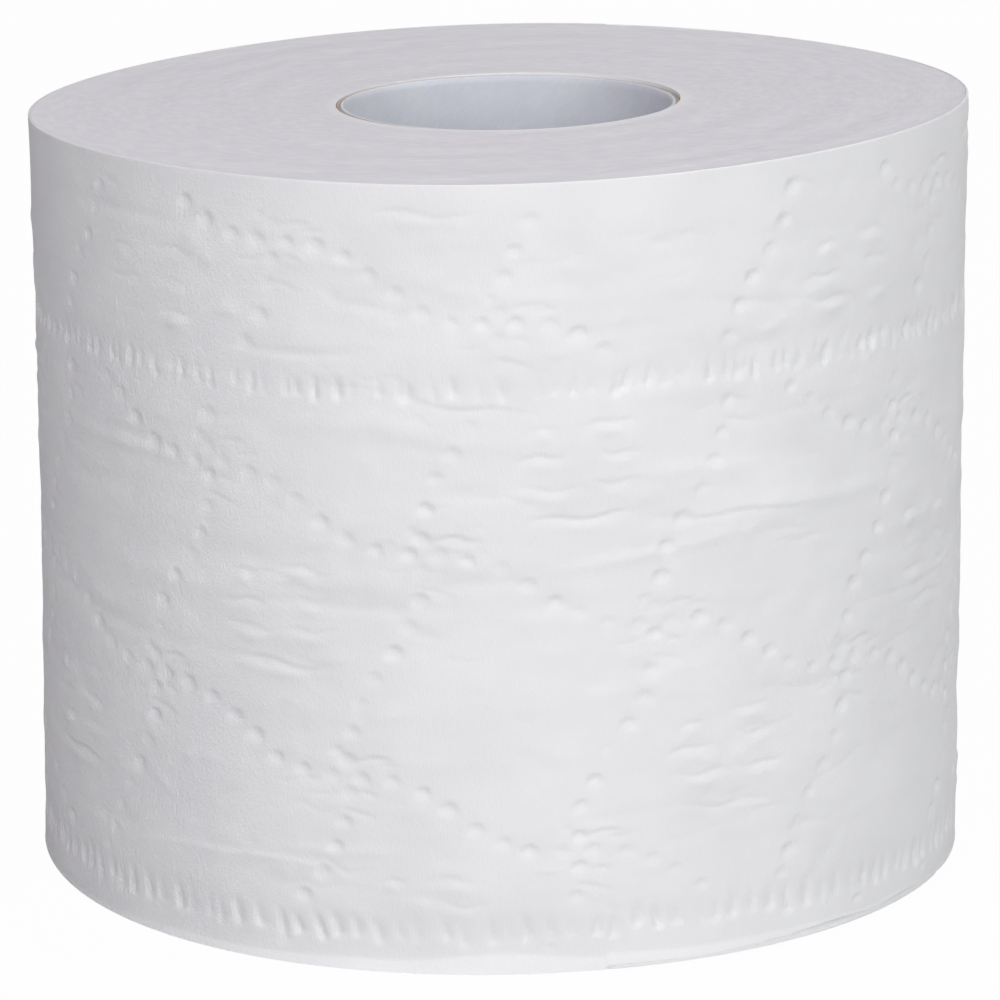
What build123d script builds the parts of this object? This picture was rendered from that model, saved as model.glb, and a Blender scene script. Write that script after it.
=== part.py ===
from build123d import *
from math import ceil, cos, floor, hypot, pi, radians, sin
import os

# Toilet paper roll, standing on its end, in millimetres.
# The origin is the centre of the lower end, and +Z runs up the axis.
# The side that faces the viewer is -Y, and the paper's loose end lies at the back.

# Driving sizes of the roll and its core
web_width = 100.0
roll_diameter = 122.0
sheet_thickness = 0.3
bore_diameter = 42.6
ply_thickness = 0.45
glue_line = 0.05

# The roll was sawn a little aslant: its upper end stands at the full width on the right, and lower on the left
end_slant = 2.5

# The core has settled off the roll's axis, to the right and towards the viewer
core_aside = 1.25
core_forward = 2.6

# The wound edges of the paper stand in a spiral of proud and shy groups of turns at each end
half_turns_shy = 3
group_step = 0.25
first_group_width = 3.0
last_group_width = 3.0

# Angles round the axis are counted from +X, and distances along the wall from the front, to the right
front_angle = 270.0

# The web is perforated into sheets, and it ends in a tail at the back, a whole number of sheets away
sheet_length = 110.0
perforation_along = 13.0
sheets_to_tail = 2
perforation_width = 0.5
perforation_depth = 0.25

# Two bands of short upright ridges are pressed into the web, one ridge in each narrow flat of the outer turn
flats_per_column = 3
band_heights = (6.0, 75.0)
ridge_length = 4.2
ridge_width = 1.3
ridge_depth = 0.6

# A net of dotted wavy lines is pressed in between. Its crossings stand in even columns round the roll, with
# rows as high as the columns are wide, and each of its sides spans 3 of them one way and 1 the other way.
columns_per_turn = 40
columns_long_way = 3
columns_short_way = 1
crossing_height = 54.0
crossing_offset = -9.5
dots_per_side = 5
dot_length = 2.4
dot_width = 1.8
dot_depth = 0.6
wave_height = 1.6
edge_margin = 1.5

# The mark in every second field of the net is two level strokes, a short one over a long one.
# Each stroke is given by its place along and up from the middle of the field, and its length.
field_strokes = ((-2.0, 3.0, 8.0), (1.5, -1.5, 12.0))
stroke_width = 1.7
stroke_depth = 0.45

# How far a pressing tool reaches out of the wall before it is cut
tool_clearance = 0.2

# Worked out from the driving sizes
upper_end = Plane(
    origin=(0, 0, web_width - end_slant / 2),
    x_dir=(roll_diameter, 0, end_slant),
    z_dir=(-end_slant, 0, roll_diameter),
)
core_centre = Pos(core_aside, -core_forward)
between_centres = Pos(core_aside / 2, -core_forward / 2)
roll_radius = roll_diameter / 2
bore_radius = bore_diameter / 2
inner_ply_radius = bore_radius + ply_thickness
outer_ply_bore = inner_ply_radius + glue_line
core_radius = outer_ply_bore + ply_thickness
first_turn_radius = core_radius + glue_line
circumference = pi * roll_diameter
column_width = circumference / columns_per_turn
flats_per_turn = flats_per_column * columns_per_turn
tail_along = perforation_along - sheets_to_tail * sheet_length
tail_angle = front_angle + 360 * tail_along / circumference


def wall_radius(angle):
    """Radius of the outer turn, which loses one sheet's thickness over a whole turn from the tail on."""
    share_of_turn = ((angle - tail_angle) % 360) / 360
    return roll_radius - sheet_thickness * share_of_turn


def polar_point(radius, angle):
    return (radius * cos(radians(angle)), radius * sin(radians(angle)))


def wall_angle(along):
    return front_angle + 360 * along / circumference


def wall_height(angle):
    return web_width - end_slant * (1 - cos(radians(angle))) / 2


def on_wall(tool, angle, up):
    """Moves a tool from the origin, where +X points out of the wall, to its place on the wall.

    The rows of marks draw together with the wall's height, so they end parallel to the slanted end.
    """
    height = up * wall_height(angle) / web_width
    return tool.moved(Location((0, 0, height), (0, 0, angle)) * Location((wall_radius(angle), 0, 0)))


def outer_turn():
    """Outline of the outer turn: a spiral in narrow flats, closed by the step at the tail."""
    points = [
        polar_point(roll_radius - sheet_thickness * i / flats_per_turn, tail_angle + 360 * i / flats_per_turn)
        for i in range(flats_per_turn + 1)
    ]
    return make_face(Polyline(*points, close=True))


def sawn(piece):
    """Cuts a piece off along the slanted upper end."""
    return split(piece, upper_end, keep=Keep.BOTTOM)


def core_tube(inner_radius, outer_radius):
    blank = extrude(Circle(outer_radius) - Circle(inner_radius), web_width + end_slant)
    return sawn(core_centre * blank)


def half_ring(centre_x, inner_radius, outer_radius, start_angle):
    centre = (centre_x, 0)
    diameter = Line((centre_x - outer_radius, 0), (centre_x + outer_radius, 0))
    half_disc = make_face(CenterArc(centre, outer_radius, start_angle, 180) + diameter)
    return half_disc - Pos(centre_x, 0) * Circle(inner_radius)


def shy_turns():
    """A spiral band from the core towards the wall, one group wide, made of half rings on two centres.

    It lies half way between the core's centre and the roll's axis, as the turns there do.
    """
    start_radius = first_turn_radius + first_group_width
    group_width = (roll_radius - last_group_width - start_radius) / (half_turns_shy + 1)
    bands = []
    for half_turn in range(half_turns_shy):
        is_upper_half = half_turn % 2 == 0
        centre_x = -group_width / 2 if is_upper_half else group_width / 2
        start_angle = 0 if is_upper_half else 180
        inner_radius = start_radius + group_width * (half_turn + 0.5)
        band = half_ring(centre_x, inner_radius, inner_radius + group_width, start_angle)
        bands.append(extrude(between_centres * band, group_step, both=True))
    return bands


def perforation_tools():
    """A fine upright groove at the end of each whole sheet of the outer turn."""
    spread = (perforation_depth + tool_clearance) / perforation_depth
    half_width = spread * perforation_width / 2
    section = Polyline((-perforation_depth, 0), (tool_clearance, half_width), (tool_clearance, -half_width),
                       close=True)
    groove = extrude(make_face(section), web_width + end_slant)
    sheets = floor(circumference / sheet_length)
    return [on_wall(groove, wall_angle(tail_along + (i + 1) * sheet_length), 0) for i in range(sheets)]


def pressing_tool(corners, depth):
    """A pyramid with its tip inside the wall: its base corners are given along and up the wall."""
    spread = (depth + tool_clearance) / depth
    base = [Vector(tool_clearance, along * spread, up * spread) for along, up in corners]
    tip = Vector(-depth, 0, 0)
    sides = [Face(Wire.make_polygon([start, end, tip])) for start, end in zip(base, base[1:] + base[:1])]
    return Solid(Shell(sides + [Face(Wire.make_polygon(base))]))


def diamond_tool(length, width, depth, direction):
    """A pyramid on a diamond whose long diagonal points along a direction, given along and up the wall."""
    forward = direction * (length / 2)
    sideways = Vector(-direction.Y, direction.X) * (width / 2)
    corners = [(corner.X, corner.Y) for corner in (-forward, -sideways, forward, sideways)]
    return pressing_tool(corners, depth)


def ridge_tools():
    """One upright ridge in the middle of each flat, in each band. It tapers to its upper end."""
    half_width = ridge_width / 2
    half_length = ridge_length / 2
    ridge = pressing_tool([(-half_width, -half_length), (half_width, -half_length), (0, half_length)], ridge_depth)
    tools = []
    for i in range(flats_per_turn):
        angle = tail_angle + 360 * (i + 0.5) / flats_per_turn
        tools.extend(on_wall(ridge, angle, height) for height in band_heights)
    return tools


def crossings():
    """Column and row of each crossing of the net: in a row, one column in 3 x 3 + 1 x 1 has a crossing."""
    columns_between = columns_long_way**2 + columns_short_way**2
    rows = ceil(web_width / column_width) + columns_long_way
    return [
        (column, row)
        for row in range(-rows, rows + 1)
        for column in range(columns_per_turn)
        if (columns_short_way * column + columns_long_way * row) % columns_between == 0
    ]


def clear_of_edges(up, reach):
    """Whether a mark fits on the web, clear of its edges and of the two ridge bands."""
    on_web = edge_margin + reach < up < web_width - edge_margin - reach
    return on_web and all(abs(up - height) > ridge_length / 2 + reach for height in band_heights)


def dot_tools():
    """Dots along the two sides that leave each crossing, on a sine wave that starts to their left."""
    dots = []
    side_length = hypot(columns_long_way, columns_short_way) * column_width
    half_width = dot_width / 2
    for run, rise in ((columns_long_way, -columns_short_way), (columns_short_way, columns_long_way)):
        unit_along = run * column_width / side_length
        unit_up = rise * column_width / side_length
        dot = diamond_tool(dot_length, dot_width, dot_depth, Vector(unit_along, unit_up))
        for column, row in crossings():
            start_along = crossing_offset + column * column_width
            start_up = crossing_height + row * column_width
            for i in range(dots_per_side):
                share = (i + 0.5) / dots_per_side
                sideways = wave_height * sin(2 * pi * share)
                along = start_along + share * side_length * unit_along - sideways * unit_up
                up = start_up + share * side_length * unit_up + sideways * unit_along
                if clear_of_edges(up, half_width):
                    dots.append(on_wall(dot, wall_angle(along), up))
    return dots


def field_tools():
    """The strokes in every second field of the net, which are the fields of the even rows."""
    half_width = stroke_width / 2
    tools = []
    for column, row in crossings():
        if row % 2 == 0:
            centre_along = crossing_offset + (column + (columns_long_way + columns_short_way) / 2) * column_width
            centre_up = crossing_height + (row + (columns_long_way - columns_short_way) / 2) * column_width
            for aside, above, length in field_strokes:
                wall_falls_away = (length / 2) ** 2 / roll_diameter
                stroke = diamond_tool(length, stroke_width, stroke_depth + wall_falls_away, Vector(1, 0))
                if clear_of_edges(centre_up + above, half_width):
                    tools.append(on_wall(stroke, wall_angle(centre_along + aside), centre_up + above))
    return tools


def tissue():
    wound = extrude(outer_turn(), web_width + end_slant) - core_centre * Cylinder(first_turn_radius, 3 * web_width)
    low_bands = shy_turns()
    high_bands = [upper_end.location * band for band in low_bands]
    body = sawn(wound) - low_bands - high_bands - perforation_tools()
    return body.solids()[0].cut(*ridge_tools(), *dot_tools(), *field_tools())


def core_outer_ply():
    return core_tube(outer_ply_bore, core_radius)


def core_inner_ply():
    return core_tube(bore_radius, inner_ply_radius)


os.makedirs("parts", exist_ok=True)
export_step(tissue(), "parts/tissue_roll.step")
export_step(core_outer_ply(), "parts/core_outer_ply.step")
export_step(core_inner_ply(), "parts/core_inner_ply.step")
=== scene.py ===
"""A toilet paper roll that stands on its end: an embossed tissue web wound on a two-ply board core.

Sizes are in millimetres. The roll is first laid out straight, by radius, angle and height, and then
settled into the soft stance of the real one, in metres, as every mesh is built.
"""
import logging
import math
from dataclasses import dataclass
from enum import Enum

import bpy
import numpy as np
from mathutils import Matrix, Vector


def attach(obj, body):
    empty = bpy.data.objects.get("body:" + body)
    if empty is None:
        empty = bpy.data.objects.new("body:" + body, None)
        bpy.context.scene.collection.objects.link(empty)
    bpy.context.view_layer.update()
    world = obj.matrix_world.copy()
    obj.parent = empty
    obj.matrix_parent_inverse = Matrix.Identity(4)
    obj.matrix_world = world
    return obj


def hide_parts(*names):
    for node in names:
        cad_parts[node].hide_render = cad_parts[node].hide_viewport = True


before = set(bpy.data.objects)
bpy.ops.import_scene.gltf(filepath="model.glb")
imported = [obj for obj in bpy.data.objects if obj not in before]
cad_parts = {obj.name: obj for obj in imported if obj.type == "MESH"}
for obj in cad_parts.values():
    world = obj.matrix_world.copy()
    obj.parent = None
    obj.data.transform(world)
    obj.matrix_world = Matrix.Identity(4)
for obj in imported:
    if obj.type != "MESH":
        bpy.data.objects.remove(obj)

Array = np.ndarray
MM = 0.001
STRAIGHT = "straight_place"
SHARP_CORNER = 62.0
log = logging.getLogger("toilet_paper_roll")


def linear(hex_colour: str) -> tuple[float, float, float, float]:
    """Turns an sRGB hex colour to linear light.

    Args:
        hex_colour: six hex digits after a hash sign.

    Returns:
        Red, green, blue and an alpha of 1.
    """
    parts = [int(hex_colour[i:i + 2], 16) / 255 for i in (1, 3, 5)]
    return (*(c / 12.92 if c <= 0.04045 else ((c + 0.055) / 1.055) ** 2.4 for c in parts), 1.0)


def add_node(tree: bpy.types.NodeTree, kind: str, inputs: dict | None = None, **settings) -> bpy.types.Node:
    """Adds a node with its settings, values and links.

    Args:
        tree: the node tree that gets the node.
        kind: the node's type name, without its ShaderNode prefix.
        inputs: a value or an output socket for each input, by its name or number.
        **settings: the node's own properties.

    Returns:
        The new node.
    """
    node = tree.nodes.new("ShaderNode" + kind)
    for name, value in settings.items():
        setattr(node, name, value)
    for key, value in (inputs or {}).items():
        if isinstance(value, bpy.types.NodeSocket):
            tree.links.new(value, node.inputs[key])
        else:
            node.inputs[key].default_value = value
    return node


def new_material(name: str) -> tuple[bpy.types.Material, bpy.types.NodeTree]:
    """Makes an empty node material.

    Args:
        name: the finish's name.

    Returns:
        The material and its node tree.
    """
    material = bpy.data.materials.new(name)
    material.use_nodes = True
    material.node_tree.nodes.clear()
    return material, material.node_tree


def matt_paper(tree: bpy.types.NodeTree, colour: bpy.types.NodeSocket, height: bpy.types.NodeSocket,
               relief: float, roughness: float, shine: float) -> None:
    """Ends the tree of a matt paper finish with its relief, its shader and its output.

    Args:
        tree: the finish's node tree.
        colour: the output that gives its colour.
        height: the output that gives its relief, from 0 to 1.
        relief: how high the relief stands, in millimetres.
        roughness: the shader's roughness.
        shine: the shader's specular level.
    """
    bump = add_node(tree, "Bump", {"Height": height, "Strength": 1.0, "Distance": relief * MM})
    shader = add_node(tree, "BsdfPrincipled", {
        "Base Color": colour, "Roughness": roughness, "Specular IOR Level": shine, "Normal": bump.outputs[0]})
    add_node(tree, "OutputMaterial", {"Surface": shader.outputs[0]})


def smooth(share: Array) -> Array:
    """Smooth step from 0 to 1: three times the square less twice the cube of the clipped share."""
    share = np.clip(share, 0.0, 1.0)
    return share * share * (3.0 - 2.0 * share)


def soft_edge(value: Array) -> Array:
    """Falls from 1 to 0 as the value rises through nought: one over one plus the exponential."""
    return 1 / (1 + np.exp(np.clip(value, -40, 40)))


# The roll's sizes and stance


@dataclass(frozen=True)
class Winding:
    """Sizes of the wound web, which are those of the solid model."""

    web_width: float = 100.0
    roll_radius: float = 61.0
    sheet_thickness: float = 0.3
    first_turn_radius: float = 22.3
    core_radius: float = 22.25
    front_angle: float = 270.0
    sheet_length: float = 110.0
    perforation_along: float = 13.0
    tail_along: float = -207.0

    @property
    def circumference(self) -> float:
        """Length of the outer turn."""
        return 2 * math.pi * self.roll_radius

    def angle(self, along: Array) -> Array:
        """Angle round the axis in radians, for distances along the wall from the front."""
        return math.radians(self.front_angle) + 2 * math.pi * along / self.circumference

    def wall_radius(self, along: Array) -> Array:
        """Radius of the outer turn, which loses one sheet's thickness over a turn from the tail on."""
        return self.roll_radius - self.sheet_thickness * (along - self.tail_along) / self.circumference


@dataclass(frozen=True)
class Stance:
    """How the soft roll stands: its upper end leans, its rims ripple and its core sits off centre."""

    winding: Winding = Winding()
    squeeze: float = 0.991
    height: float = 98.46
    lean: float = 1.245
    upper_ripple: tuple[int, float] = (3, -0.375)
    lower_lift: float = 0.585
    lower_ripples: tuple[tuple[int, float, float], ...] = ((1, 0.0, 0.14), (2, 0.32, -0.25), (3, -0.08, 0.18))
    waist: float = 0.008
    core_shift: tuple[float, float] = (1.25, -2.6)

    def settle(self, radius: Array, angle: Array, up: Array) -> Array:
        """Carries points of the straight roll to where they stand.

        The upper rim's height is the middle height, plus the lean times the cosine of the angle, plus a
        ripple three times round. The lower rim's height is a sum of ripples. A ripple of n times round
        fades with the nth power of the radius. The left side draws in by half a sine wave over the
        height, and the middle moves aside by a share that falls off evenly to nothing at the wall.

        Args:
            radius: distance from the axis.
            angle: angle round the axis, in radians.
            up: height in the straight roll.

        Returns:
            Points in metres, with x, y and z in the last axis.
        """
        winding = self.winding
        radius, angle, up = np.broadcast_arrays(radius, angle, up)
        share = radius / winding.roll_radius
        turns, size = self.upper_ripple
        ripple = size * share ** turns * np.sin(turns * angle)
        upper = self.height + self.lean * share * np.cos(angle) + ripple
        lower = self.lower_lift + sum(
            share ** turns * (cosine * np.cos(turns * angle) + sine * np.sin(turns * angle))
            for turns, cosine, sine in self.lower_ripples
        )
        rise = up / winding.web_width
        left = np.clip(-np.cos(angle), 0.0, 1.0) ** 2
        reach = radius * self.squeeze * (1 - self.waist * left * share * np.sin(np.pi * np.clip(rise, 0, 1)))
        aside = 1 - (radius - winding.core_radius) / (winding.roll_radius - winding.core_radius)
        aside = np.clip(aside, 0.0, 1.0)
        x = reach * np.cos(angle) + aside * self.core_shift[0]
        y = reach * np.sin(angle) + aside * self.core_shift[1]
        return MM * np.stack([x, y, lower + rise * (upper - lower)], axis=-1)


def carried_profile(name: str, stance: Stance, radius: Array, angle: Array, up: Array,
                    around: bool) -> bpy.types.Object:
    """Makes a closed mesh of one closed profile carried round the axis.

    Each section is a closed loop of points that runs up the outer side and down the inner side. Points
    of neighbouring sections are joined by four-sided faces, and the first and last section are closed
    by a flat face each, unless the sections run all the way round.

    Args:
        name: the piece's name.
        stance: how the roll stands.
        radius: radius of each point, sections by profile points.
        angle: angle of each point, in the same layout or one that spreads to it.
        up: height of each point, in the same layout.
        around: whether the last section joins the first.

    Returns:
        The new object, at the origin, with its straight place kept as an attribute of its points.
    """
    radius, angle, up = np.broadcast_arrays(radius, angle, up)
    sections, points = radius.shape
    settled = stance.settle(radius, angle, up).reshape(-1, 3)
    straight = np.stack([radius * np.cos(angle), radius * np.sin(angle), up], axis=-1).reshape(-1, 3)
    first = np.arange(sections if around else sections - 1)
    here, there = first[:, None] * points, (first[:, None] + 1) % sections * points
    step = np.arange(points)[None, :]
    ahead = (step + 1) % points
    quads = np.stack([here + step, there + step, there + ahead, here + ahead], axis=-1).reshape(-1)
    caps = [] if around else [np.arange(points), (sections - 1) * points + np.arange(points)[::-1]]
    corners = np.concatenate([quads, *caps]).astype(np.int32)
    counts = np.concatenate([np.full(quads.size // 4, 4), [len(cap) for cap in caps]]).astype(np.int32)
    starts = np.concatenate([[0], np.cumsum(counts)[:-1]]).astype(np.int32)

    mesh = bpy.data.meshes.new(name)
    mesh.vertices.add(len(settled))
    mesh.vertices.foreach_set("co", settled.astype(np.float32).reshape(-1))
    mesh.loops.add(len(corners))
    mesh.loops.foreach_set("vertex_index", corners)
    mesh.polygons.add(len(counts))
    mesh.polygons.foreach_set("loop_start", starts)
    mesh.update(calc_edges=True)
    mesh.polygons.foreach_set("use_smooth", np.ones(len(counts), dtype=bool))
    mesh.set_sharp_from_angle(angle=math.radians(SHARP_CORNER))
    place = mesh.attributes.new(STRAIGHT, "FLOAT_VECTOR", "POINT")
    place.data.foreach_set("vector", straight.astype(np.float32).reshape(-1))
    piece = bpy.data.objects.new(name, mesh)
    bpy.context.scene.collection.objects.link(piece)
    return piece


def dress(piece: bpy.types.Object, material: bpy.types.Material, node: str) -> None:
    """Gives a piece its finish and its body, hides the imported solid that it stands for, and reports it.

    Args:
        piece: the piece.
        material: its finish.
        node: the solid that it stands for.
    """
    piece.data.materials.append(material)
    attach(piece, "root")
    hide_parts(node)
    log.info("%s: %d faces", piece.name, len(piece.data.polygons))


# Marks pressed into the web


class Press(Enum):
    """Forms of the marks that are pressed into the web."""

    DOT = "dot"
    RIDGE = "ridge"
    STROKE = "stroke"
    SWELL = "swell"

    @property
    def reach(self) -> tuple[float, float]:
        """How far a mark of this form reaches about its middle.

        Returns:
            Its reach lengthways, in half lengths, and across, in half widths.
        """
        reaches = {
            Press.DOT: (2.0, 2.0), Press.RIDGE: (1.6, 3.0), Press.STROKE: (1.6, 3.5), Press.SWELL: (2.7, 2.7),
        }
        return reaches[self]

    def depth(self, lengthways: Array, across: Array) -> Array:
        """Depth of the mark as a share of its full depth.

        A dot is a flat-bottomed dent, steeper at its upper side than at its lower one. A ridge is a
        trough with a steep left flank and a gentle right one, which deepens evenly from its upper end
        to just before its lower end. A stroke falls steeply at its upper side, and rises again below,
        quickly at first and then ever more gently. A swell is a wide bell.

        Args:
            lengthways: place along the mark, in half lengths.
            across: place across the mark, in half widths.

        Returns:
            The share of the full depth, in the same layout.
        """
        if self is Press.DOT:
            distance = np.hypot(lengthways, across)
            return soft_edge((6.5 + 4.5 * across / (distance + 0.3)) * (distance - 0.9))
        if self is Press.RIDGE:
            right = np.clip(-across, 0.0, 3.0)
            flanks = soft_edge(9 * (across - 0.7)) * np.exp(-0.7 * right) * (1 - (right / 3.0) ** 2) ** 2
            return flanks * smooth((1.25 - lengthways) / 1.9) * soft_edge(-12 * (lengthways + 1.0))
        if self is Press.STROKE:
            below = np.clip(-across, 0.0, 3.5)
            rise = np.exp(-1.3 * below) * (1 - (below / 3.5) ** 2) ** 2
            return np.exp(-lengthways ** 4) * soft_edge(16 * (across - 0.1)) * rise
        return np.exp(-lengthways ** 2 - across ** 2)


@dataclass
class Marks:
    """A set of marks of one form, with an entry for each mark in every array."""

    form: Press
    along: Array
    up: Array
    half_length: Array
    half_width: Array
    turn: Array
    depth: Array
    bow: Array
    wander: Array

    @classmethod
    def make(cls, form: Press, along: Array, up: Array, half_length: float | Array, half_width: float | Array,
             turn: float | Array, depth: float | Array, bow: float | Array = 0.0,
             wander: float | Array = 0.0) -> "Marks":
        """Spreads single values over all the marks, and turns degrees to radians."""
        values = np.broadcast_arrays(along, up, half_length, half_width, np.radians(turn), depth, bow, wander)
        return cls(form, *(np.array(v, dtype=float).reshape(-1) for v in values))


class Relief:
    """Depth of everything that is pressed into one stretch of the web, on an even grid."""

    def __init__(self, along: Array, up: Array) -> None:
        """Lays out the grid.

        Args:
            along: even places along the wall.
            up: even heights.
        """
        self.along, self.up = along, up
        self.depth = np.zeros((len(along), len(up)))

    def press(self, marks: Marks) -> None:
        """Adds a set of marks, each over a window of the grid about its middle.

        A mark's middle line bows by the square of the place along it, and wanders by a sine wave whose
        start differs from mark to mark. A negative half width turns its sides about.

        Args:
            marks: the set, all of one form.
        """
        step_along, step_up = self.along[1] - self.along[0], self.up[1] - self.up[0]
        long_reach, short_reach = marks.form.reach
        long_side = long_reach * marks.half_length
        short_side = (short_reach + 2 * np.abs(marks.bow) + marks.wander) * np.abs(marks.half_width)
        cosine, sine = np.abs(np.cos(marks.turn)), np.abs(np.sin(marks.turn))
        wide = math.ceil((long_side * cosine + short_side * sine).max() / step_along)
        high = math.ceil((long_side * sine + short_side * cosine).max() / step_up)
        margin = wide * step_along
        near = (marks.along > self.along[0] - margin) & (marks.along < self.along[-1] + margin)
        names = ("along", "up", "half_length", "half_width", "turn", "depth", "bow", "wander")
        along, up, half_length, half_width, turn, depth, bow, wander = (
            getattr(marks, name)[near][:, None, None] for name in names)
        column = np.rint((along - self.along[0]) / step_along) + np.arange(-wide, wide + 1)[:, None]
        row = np.rint((up - self.up[0]) / step_up) + np.arange(-high, high + 1)
        aside = self.along[0] + column * step_along - along
        above = self.up[0] + row * step_up - up
        lengthways = (aside * np.cos(turn) + above * np.sin(turn)) / half_length
        across = (above * np.cos(turn) - aside * np.sin(turn)) / half_width
        across = across - bow * lengthways ** 2 - wander * np.sin(4.2 * lengthways + 1.7 * along)
        value = depth * marks.form.depth(lengthways, across)
        column, row, value = np.broadcast_arrays(column, row, value)
        inside = (column >= 0) & (column < len(self.along)) & (row >= 0) & (row < len(self.up))
        np.add.at(self.depth, (column[inside].astype(int), row[inside].astype(int)), value[inside])


@dataclass(frozen=True)
class Embossing:
    """What is pressed into the web: two bands of ridges, a net of dotted waves, and sprigs in its fields.

    Depths, lengths and places are in millimetres, and turns are in degrees from level.
    """

    winding: Winding = Winding()
    columns_per_turn: int = 40
    column_range: tuple[int, int] = (-28, 28)
    row_range: tuple[int, int] = (-9, 9)
    side_run: int = 3
    side_rise: int = 1
    crossing_height: float = 54.0
    crossing_offset: float = -9.5
    dots_per_side: int = 8
    dot_half_size: tuple[float, float] = (1.02, 0.8)
    dot_depths: tuple[float, float] = (0.12, 0.38)
    dot_drift: float = 0.16
    wave_height: float = 1.6
    band_heights: tuple[float, float] = (6.0, 75.0)
    edge_margin: float = 1.5
    band_margin: float = 2.0
    turned_about: float = 20.0
    pillow_below: float = 1.3
    pillow_half_width: float = 0.8
    seed: int = 7

    @property
    def column_width(self) -> float:
        """Width of the columns in which the crossings stand."""
        return self.winding.circumference / self.columns_per_turn

    def crossings(self) -> tuple[Array, Array, Array]:
        """Finds the crossings of the net.

        A crossing stands in a column and row where the column plus three rows is a multiple of ten.

        Returns:
            Place along, height and row number of each crossing, over a little more than a whole turn.
        """
        column, row = np.meshgrid(np.arange(*self.column_range), np.arange(*self.row_range), indexing="ij")
        spacing = self.side_run ** 2 + self.side_rise ** 2
        chosen = (self.side_rise * column + self.side_run * row) % spacing == 0
        column, row = column[chosen], row[chosen]
        width = self.column_width
        return self.crossing_offset + column * width, self.crossing_height + row * width, row

    def clear(self, up: Array, reach: float) -> Array:
        """Finds the marks that stay clear of both ridge bands and both edges.

        Args:
            up: the marks' heights.
            reach: how far each mark reaches up and down.

        Returns:
            True for each mark that is clear.
        """
        margin = self.edge_margin + reach
        free = (up > margin) & (up < self.winding.web_width - margin)
        for height in self.band_heights:
            free &= np.abs(up - height) > self.band_margin + reach
        return free

    def dots(self, random: np.random.Generator) -> list[Marks]:
        """Dots along the two sides that leave each crossing, on a sine wave that starts to their left.

        Args:
            random: the source of the small differences from dot to dot.

        Returns:
            The dots, and a wide shallow swell under each that lets the paper puff up beside the line.
        """
        marks = []
        start_along, start_up, _ = self.crossings()
        length = math.hypot(self.side_run, self.side_rise) * self.column_width
        share = (np.arange(self.dots_per_side) + 0.5) / self.dots_per_side
        for run, rise in ((self.side_run, -self.side_rise), (self.side_rise, self.side_run)):
            along_unit, up_unit = run * self.column_width / length, rise * self.column_width / length
            aside = self.wave_height * np.sin(2 * np.pi * share)
            along = start_along[:, None] + share * length * along_unit - aside * up_unit
            up = start_up[:, None] + share * length * up_unit + aside * along_unit
            along = along + random.normal(0, self.dot_drift, along.shape)
            up = up + random.normal(0, self.dot_drift, up.shape)
            lean = 0.1 * np.degrees(math.atan2(rise, run)) + random.normal(0, 9, along.shape)
            size = random.uniform(0.82, 1.12, along.shape)
            depth = random.uniform(*self.dot_depths, along.shape)
            half_length, half_width = self.dot_half_size
            free = self.clear(up, half_width)
            marks.append(Marks.make(Press.DOT, along[free], up[free], half_length * size[free],
                                    half_width * size[free], lean[free], depth[free], -0.25))
            marks.append(Marks.make(Press.SWELL, along[free], up[free], 3.4, 2.4, 0.0, 0.03))
        return marks

    def crossing_marks(self, random: np.random.Generator) -> list[Marks]:
        """A pair of arcs, a dot and three short strokes round each crossing.

        Args:
            random: the source of the small differences in place and depth.

        Returns:
            One set of marks for each mark of a crossing.
        """
        along, up, _ = self.crossings()
        offsets = (
            # form, along, up, half length, half width, turn, depth, bow
            (Press.STROKE, 3.1, 2.5, 2.15, 0.7, 6, 0.26, -0.6),
            (Press.STROKE, -3.2, -2.6, 1.9, 0.7, 8, 0.12, 0.5),
            (Press.DOT, -1.3, 3.0, 0.8, 0.65, 0, 0.16, -0.2),
            (Press.STROKE, 2.6, -2.0, 1.2, 0.5, -12, 0.2, -0.3),
            (Press.STROKE, 1.6, -4.6, 2.2, 0.6, -14, 0.2, -0.3),
            (Press.STROKE, 5.4, 1.6, 1.4, 0.5, 4, 0.16, -0.2),
        )
        marks = []
        for form, aside, above, half_length, half_width, turn, depth, bow in offsets:
            place_along = along + aside + random.normal(0, 0.2, along.shape)
            place_up = up + above + random.normal(0, 0.2, along.shape)
            free = self.clear(place_up, 1.0)
            marks.append(Marks.make(form, place_along[free], place_up[free], half_length, half_width, turn,
                                    (depth * random.uniform(0.6, 1.2, along.shape))[free], bow))
        return marks

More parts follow.
